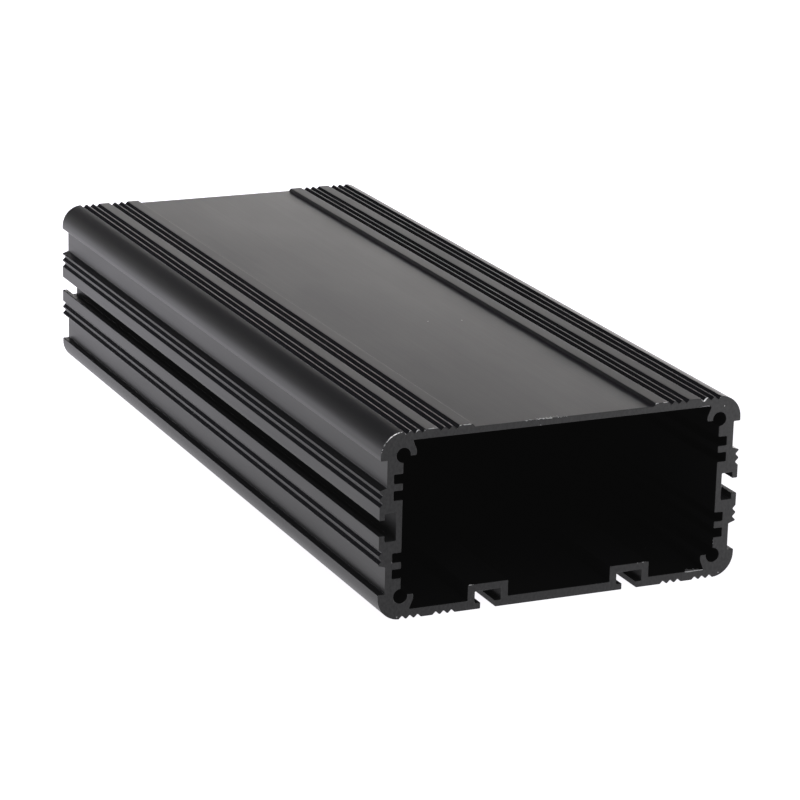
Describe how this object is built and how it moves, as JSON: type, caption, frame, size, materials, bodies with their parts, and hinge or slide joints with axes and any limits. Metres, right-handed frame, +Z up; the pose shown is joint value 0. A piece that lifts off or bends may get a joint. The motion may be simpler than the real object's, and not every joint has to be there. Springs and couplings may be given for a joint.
{
  "type": "instrument case",
  "caption": "Extruded aluminium instrument case body, anodised black: a rectangular tube with ridged bands, board slots, nut slots and screw ports for end plates.",
  "frame": {"origin": "centre of the underside, half way along the length", "axes": "+X across the width, +Y along the length, +Z up towards the label panel"},
  "size_m": [0.082, 0.2, 0.04],
  "materials": {
    "anodised_aluminium": "satin black anodised extrusion with bare sawn edges in places"
  },
  "bodies": {
    "root": {"case_body": "anodised_aluminium"}
  },
  "joints": []
}
